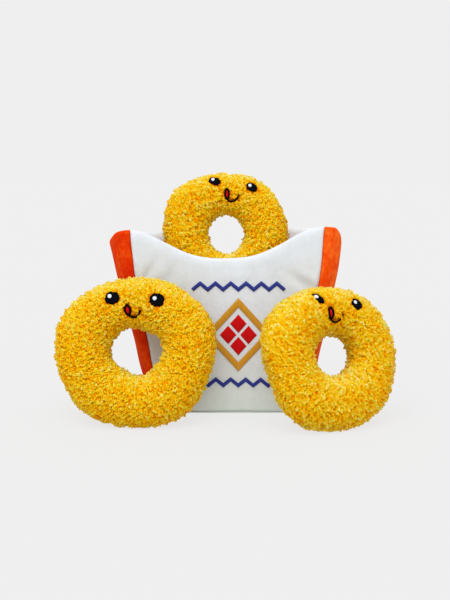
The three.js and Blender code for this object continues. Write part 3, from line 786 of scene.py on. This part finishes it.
class Ring:
    """A ring of RINGS. In its own frame it stands upright round the origin, with its face towards -Y."""

    def __init__(self, name, spec):
        self.name = name
        self.__dict__.update(spec)
        self.matrix = np.array(
            Matrix.Translation(Vector(self.middle))
            @ Matrix.Rotation(math.radians(self.yaw), 4, "Z")
            @ Matrix.Rotation(math.radians(-self.lean), 4, "X")
        )

    def stand(self, points):
        """Points of the ring's own frame in the part's frame, none of them under the ground."""
        world = np.asarray(points) @ self.matrix[:3, :3].T + self.matrix[:3, 3]
        world[:, 2] = np.maximum(world[:, 2], 0)
        return world

    def band(self, angle):
        """The cloth's middle radius and half width at an angle round the ring."""
        outer = np.full_like(angle, float(self.radius))
        for waves, cosine, sine in self.outline:
            outer += cosine * np.cos(waves * angle) + sine * np.sin(waves * angle)
        inner = np.full_like(angle, float(self.hole))
        for waves, cosine, sine in self.hole_outline:
            inner += cosine * np.cos(waves * angle) + sine * np.sin(waves * angle)
        return (outer + inner) / 2, (outer - inner) / 2

    def surface(self, angle, turn, lift):
        """The place at an angle round the ring and a turn round its section, raised by lift."""
        middle, half = self.band(angle)
        c = np.cos(turn)
        s = np.sin(turn)
        unit_out = np.sign(c) * np.abs(c) ** (2 / SECTION_POWER)
        unit_back = np.sign(s) * np.abs(s) ** (2 / SECTION_POWER)
        out = middle + (half + lift) * unit_out
        return np.stack([out * np.cos(angle), (self.thick + lift) * unit_back, out * np.sin(angle)], 1)

    def on_front(self, x, z, lift):
        """A place on the front in the ring's own frame, raised by lift."""
        middle, half = self.band(np.arctan2(z, x))
        reach = np.minimum(1, np.abs(np.hypot(x, z) - middle) / (half + lift))
        depth = (self.thick + lift) * (1 - reach**SECTION_POWER) ** (1 / SECTION_POWER)
        return np.stack([x, -depth, z], 1)

    def on_face(self, x, z, lift):
        """A place on the stitched face, in the part's frame, from the middle between the eyes at scale 1."""
        face = self.face
        roll = math.radians(face["roll"])
        along = x * math.cos(roll) + z * math.sin(roll)
        up = z * math.cos(roll) - x * math.sin(roll)
        scale = face["scale"]
        local = self.on_front(face["x"] + along * scale, face["z"] + up * scale, STITCH_BASE + lift)
        return self.stand(local)

    def on_eye(self, hand, x, z, lift):
        """A place x, z from an eye's middle, turned with the eye."""
        turn = math.radians(self.eyes[hand > 0][2])
        along = x * math.cos(turn) + z * math.sin(turn)
        return self.on_face(hand * EYE_SPACING / 2 + along, z * math.cos(turn) - x * math.sin(turn), lift)

    def on_mouth(self, x, z, lift):
        """A place x, z from the tongue's middle."""
        return self.on_face(self.mouth["x"] + x, self.mouth["z"] + z, lift)

    def on_tongue(self, x, z, lift):
        """A place x, z from the tongue's middle, turned with the tongue."""
        turn = math.radians(TONGUE_TURN)
        along = x * math.cos(turn) - z * math.sin(turn)
        return self.on_mouth(along, x * math.sin(turn) + z * math.cos(turn), lift)

    def eye_half(self, hand):
        """An eye's half width and height, the left one's if hand is less than 0."""
        wide, tall, _ = self.eyes[hand > 0]
        return EYE_HALF[0] * wide, EYE_HALF[1] * tall

    def tongue_half(self, out=0.0):
        """The tongue's half width and height, this far outside its edge."""
        return TONGUE_HALF[0] * self.mouth["wide"] + out, TONGUE_HALF[1] * self.mouth["tall"] + out

    def face_place(self, points):
        """Where points in the ring's own frame lie on the face, at scale 1."""
        face = self.face
        roll = math.radians(face["roll"])
        dx = (points[:, 0] - face["x"]) / face["scale"]
        dz = (points[:, 2] - face["z"]) / face["scale"]
        return dx * math.cos(roll) - dz * math.sin(roll), dx * math.sin(roll) + dz * math.cos(roll)

    def stitch_distance(self, points):
        """How far points on the front lie outside the nearest stitch; less than 0 is inside."""
        x, z = self.face_place(points)
        best = np.full(len(points), FAR)
        for hand in (-1, 1):
            half = self.eye_half(hand)
            turn = math.radians(self.eyes[hand > 0][2])
            dx = x - hand * EYE_SPACING / 2
            across = (dx * math.cos(turn) - z * math.sin(turn)) / half[0]
            up = (z * math.cos(turn) + dx * math.sin(turn)) / half[1]
            best = np.minimum(best, (np.hypot(across, up) - 1) * min(half))
        tx = x - self.mouth["x"]
        tz = z - self.mouth["z"]
        turn = math.radians(TONGUE_TURN)
        half = self.tongue_half(TONGUE_GAP + STROKE)
        across = (tx * math.cos(turn) + tz * math.sin(turn)) / half[0]
        up = (tz * math.cos(turn) - tx * math.sin(turn)) / half[1]
        best = np.minimum(best, (np.hypot(across, up) - 1) * half[0])
        sx = tx - SMILE_OFFSET
        turn = np.degrees(np.arctan2(tz, sx)) % 360
        turn = np.where(turn < 90, turn + 360, turn)
        end = np.radians(np.clip(turn, *SMILE_TURN))
        smile = self.mouth["smile"]
        gap = np.hypot(sx - smile * np.cos(end), tz - smile * np.sin(end)) - STROKE / 2
        best = np.minimum(best, gap)
        return np.where(points[:, 1] < 0, best * self.face["scale"], FAR)


def ring_lumps(ring, points):
    """The soft filling's slow unevenness, and the locks' bunches."""
    a = points[:, 0] + 0.6 * points[:, 1]
    b = points[:, 2] - 0.5 * points[:, 1]
    return LUMP * 0.5 * (waver(a, b, ring.seed + 70, 7) - 0.4), TUFT * waver(a, b, ring.seed + 80, TUFT_SIZE)


def section_length(ring):
    """Turns round the ring's section, and the distance along the section to each."""
    turns = np.linspace(0, 2 * math.pi, 1441)
    zero = np.zeros_like(turns)
    section = ring.surface(zero, turns, zero)
    steps = np.linalg.norm(np.diff(section, axis=0), axis=1)
    return turns, np.concatenate([[0], np.cumsum(steps)])


def arc_heights(ring, columns, rows, kind, seed):
    """Arcs of yarn strewn over the ring's grid: the highest one's rise at each cell, and its shade."""
    rng = np.random.default_rng(seed)
    coarse = ring.coarse
    low, high = kind["radius"]
    thin, thick = kind["yarn"]
    turns, length = section_length(ring)
    whole = length[-1]
    lines = round(whole / kind["row"] / coarse)
    reach = (high + thick) * coarse
    cells, lifts, shades = [], [], []
    for k in range(lines):
        turn = np.interp((k + 0.5) / lines * whole, length, turns)
        out = ring.surface(np.array([0.0]), np.array([turn]), np.array([0.0]))[0, 0]
        count = round(2 * math.pi * out / kind["pitch"] / coarse)
        angle = (np.arange(count) + rng.uniform(0, 1) + rng.uniform(-0.4, 0.4, count)) / count * 2 * math.pi
        along = (k + 0.5 + rng.uniform(-0.45, 0.45, count)) / lines * whole
        at = ring.surface(angle, np.interp(along, length, turns), np.zeros(count))
        clear = ring.stitch_distance(at) > rng.uniform(*kind["clear"], count)
        angle, along = angle[clear], along[clear]
        count = len(angle)
        column = angle / (2 * math.pi) * columns
        row = along / whole * rows
        wide = 2 * math.pi * out / columns
        tall = whole / rows
        i, j = np.meshgrid(np.arange(-math.ceil(reach / wide), math.ceil(reach / wide) + 1),
                           np.arange(-math.ceil(reach / tall), math.ceil(reach / tall) + 1))
        i = np.round(column).astype(int)[:, None] + i.ravel()
        j = np.round(row).astype(int)[:, None] + j.ravel()
        a = (i - column[:, None]) * wide
        b = (j - row[:, None]) * tall

        radius = coarse * rng.uniform(low, high, count)[:, None]
        sweep = rng.uniform(*kind["sweep"], count)[:, None]
        yarn = coarse * rng.uniform(thin, thick, count)[:, None]
        start = rng.uniform(0, 2 * math.pi, count)[:, None]
        share = np.mod(np.arctan2(b, a) - start, 2 * math.pi)
        share = np.where(share > (sweep + 2 * math.pi) / 2, 0, np.minimum(share, sweep))
        bend = start + share
        gap = np.hypot(a - radius * np.cos(bend), b - radius * np.sin(bend))
        tilt = kind["tilt"] * (share / sweep - 0.5)
        crest = kind["squash"] * np.sqrt(np.maximum(yarn**2 - gap**2, 0)) / math.sqrt(coarse)
        lift = rng.uniform(*kind["rise"], count)[:, None] + tilt + crest
        inside = gap < yarn
        cells.append(((j % rows) * columns + i % columns)[inside])
        lifts.append(lift[inside])
        shades.append((rng.uniform(0, 1, count)[:, None] + 0 * gap)[inside])
    cells, lifts, shades = (np.concatenate(each) for each in (cells, lifts, shades))
    highest = np.zeros(columns * rows)
    np.maximum.at(highest, cells, lifts)
    shade = np.full(columns * rows, 0.5)
    top = lifts >= highest[cells]
    shade[cells[top]] = shades[top]
    return highest, shade


def grid_normals(points, columns, rows):
    """Unit normals of a grid that is closed both ways, all of them out of the solid or all into it."""
    grid = points.reshape(rows, columns, 3)
    round_rim = np.roll(grid, -1, 1) - np.roll(grid, 1, 1)
    round_section = np.roll(grid, -1, 0) - np.roll(grid, 1, 0)
    normals = np.cross(round_section, round_rim).reshape(-1, 3)
    return normals / np.maximum(np.linalg.norm(normals, axis=1, keepdims=True), 1e-9)


def build_ring(ring):
    """A stuffed ring's curly cloth, with the stitches pressed into it.

    It is two pieces, front and back, each closed across the ring's middle.
    """
    turns, length = section_length(ring)
    columns = round(2 * math.pi * ring.radius / CELL_ROUND)
    rows = 2 * round(length[-1] / CELL_SECTION / 2)
    j, i = np.meshgrid(np.arange(rows), np.arange(columns), indexing="ij")
    angle = i.ravel() / columns * 2 * math.pi
    turn = np.interp(j.ravel() / rows * length[-1], length, turns)
    flat = ring.surface(angle, turn, np.zeros(len(angle)))
    locks, lock_shade = arc_heights(ring, columns, rows, LOCKS, ring.seed * 101)
    curls, curl_shade = arc_heights(ring, columns, rows, CURLS, ring.seed * 103)
    pressed = 1 - smooth(ring.stitch_distance(flat), 0, SUNK_EDGE)
    pressed = pressed * (1 - smooth(locks + curls, 0, YARN_STANDS))
    height = mix(CLOTH, STITCH_SUNK, pressed) + locks + curls
    lumps, tufts = ring_lumps(ring, flat)
    points = ring.stand(ring.surface(angle, turn, height + lumps + tufts))
    even = ring.stand(ring.surface(angle, turn, height + lumps))
    smooth_normals = grid_normals(ring.stand(flat), columns, rows)
    normals = mix(grid_normals(even, columns, rows), smooth_normals, FUZZ)
    if np.einsum("ij,ij->", smooth_normals, ring.stand(flat) - np.array(ring.middle)) < 0:
        normals = -normals
        smooth_normals = -smooth_normals
    normals /= np.linalg.norm(normals, axis=1, keepdims=True)
    # Painted top light: how far the cloth faces up, which paints it paler.
    up = smooth(smooth_normals[:, 2], 0.2, 1)
    for side, first in (("back", 0), ("front", rows // 2)):
        chosen = (np.arange(first, first + rows // 2 + 1) % rows)[:, None] * columns + np.arange(columns)
        chosen = chosen.ravel()
        quads = grid_faces(columns, rows // 2 + 1, loop_columns=True, loop_rows=True)
        quads = face_outwards(points[chosen], quads)
        half = make(f"{ring.name}_fleece_{side}", points[chosen], quads, FLEECE,
                    {"lock": locks[chosen] / LOCK_TOP, "curl": curls[chosen] / CURL_TOP,
                     "shade": (lock_shade + curl_shade)[chosen] / 2, "up": up[chosen]}, normals[chosen])
    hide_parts(ring.name)


def build_face(ring):
    """The eyes with their glints, the tongue, and the mouth's loop and smile."""
    for name, hand in (("left", -1), ("right", 1)):
        seed = ring.seed * 10 + hand

        def eye_outline(turn, hand=hand, seed=seed):
            half = ring.eye_half(hand)
            reach = frayed(turn, seed + 100)
            return np.stack([half[0] * reach * np.cos(turn), half[1] * reach * np.sin(turn)], 1)

        def glint_outline(turn, seed=seed):
            reach = GLINT_RADIUS * ragged(len(turn), seed + 200, 0.05)
            return np.stack([reach * np.cos(turn), reach * np.sin(turn)], 1)

        def eye_place(x, z, lift, hand=hand):
            return ring.on_eye(hand, x, z, lift)

        def glint_place(x, z, lift, hand=hand):
            across = hand * EYE_SPACING / 2 + GLINT_OFFSET[0]
            return ring.on_face(x + across, z + GLINT_OFFSET[1], lift + GLINT_LIFT)

        eye = dome(f"{ring.name}_eye_{name}_stitch", eye_outline, STITCH_HEIGHT, eye_place, BLACK, crown=5)
        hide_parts(f"{ring.name}_eye_{name}")
        glint = dome(f"{ring.name}_glint_{name}_stitch", glint_outline, GLINT_HEIGHT, glint_place, GLINT,
                     hoops=5)
        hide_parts(f"{ring.name}_glint_{name}")

    def tongue_outline(turn):
        half = ring.tongue_half(TONGUE_OVER)
        return np.stack([half[0] * np.cos(turn), half[1] * np.sin(turn)], 1)

    tongue = dome(f"{ring.name}_tongue_stitch", tongue_outline, TONGUE_HEIGHT, ring.on_tongue, RED, hoops=5)
    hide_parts(f"{ring.name}_tongue")

    turn = np.radians(np.linspace(60, 420, 40))[:-1]
    half = ring.tongue_half(TONGUE_GAP + STROKE / 2)
    loop = np.stack([half[0] * np.cos(turn), half[1] * np.sin(turn)], 1)
    widths = np.full(len(loop), STROKE)
    outline = ribbon(f"{ring.name}_mouth_loop_stitch", loop, widths, STROKE_HEIGHT, ring.on_tongue, BLACK,
                     closed=True)
    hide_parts(f"{ring.name}_mouth")
    turn = np.radians(np.linspace(*SMILE_TURN, 22))
    radius = ring.mouth["smile"]
    arc = np.stack([SMILE_OFFSET + radius * np.cos(turn), radius * np.sin(turn)], 1)
    widths = STROKE * (0.85 + 0.2 * np.sin(np.pi * np.linspace(0, 1, len(arc))))
    smile = ribbon(f"{ring.name}_smile_stitch", arc, widths, STROKE_HEIGHT, ring.on_mouth, BLACK)


# Light, floor and camera


def build_stage():
    """A pale floor, an even backdrop and one wide soft sun."""
    material = bpy.data.materials.new("floor")
    material.use_nodes = True
    shader = material.node_tree.nodes["Principled BSDF"]
    shader.inputs["Base Color"].default_value = (0.1, 0.1, 0.1, 1)
    shader.inputs["Emission Color"].default_value = (1, 1, 1, 1)
    shader.inputs["Emission Strength"].default_value = FLOOR_GLOW
    shader.inputs["Roughness"].default_value = 1.0
    shader.inputs["Specular IOR Level"].default_value = 0.0
    mesh = bpy.data.meshes.new("floor")
    corners = [(x * FLOOR_REACH, y * FLOOR_REACH, 0) for x, y in ((-1, -1), (1, -1), (1, 1), (-1, 1))]
    mesh.from_pydata(corners, [], [(0, 1, 2, 3)])
    mesh.materials.append(material)
    floor = bpy.data.objects.new("floor", mesh)
    bpy.context.scene.collection.objects.link(floor)

    world = bpy.data.worlds.new("studio")
    bpy.context.scene.world = world
    world.use_nodes = True
    background = world.node_tree.nodes["Background"]
    background.inputs["Color"].default_value = (BACKDROP, BACKDROP, BACKDROP, 1)
    background.inputs["Strength"].default_value = 1.0

    sun = bpy.data.lights.new("key", "SUN")
    sun.energy = KEY_ENERGY
    sun.angle = math.radians(KEY_SPREAD)
    lamp = bpy.data.objects.new("key", sun)
    lamp.rotation_euler = Vector(KEY_FROM).to_track_quat("Z", "Y").to_euler()
    bpy.context.scene.collection.objects.link(lamp)


def build_camera():
    """The photograph's view."""
    data = bpy.data.cameras.new("camera")
    data.lens = CAMERA_LENS
    data.sensor_width = 36
    data.sensor_fit = "AUTO"
    data.shift_x, data.shift_y = CAMERA_SHIFT
    data.clip_end = 200
    elevation = math.radians(CAMERA_ELEVATION)
    back = Vector((0, -math.cos(elevation), math.sin(elevation)))
    camera = bpy.data.objects.new("camera", data)
    camera.location = (Vector(CAMERA_TARGET) + CAMERA_DISTANCE * back) * MM
    camera.rotation_euler = back.to_track_quat("Z", "Y").to_euler()
    bpy.context.scene.collection.objects.link(camera)
    bpy.context.scene.camera = camera
    bpy.context.scene.view_settings.view_transform = "Standard"


build_camera()
build_stage()
build_pouch()
build_motif()
for ring_name, ring_spec in RINGS.items():
    one = Ring(ring_name, ring_spec)
    build_ring(one)
    build_face(one)
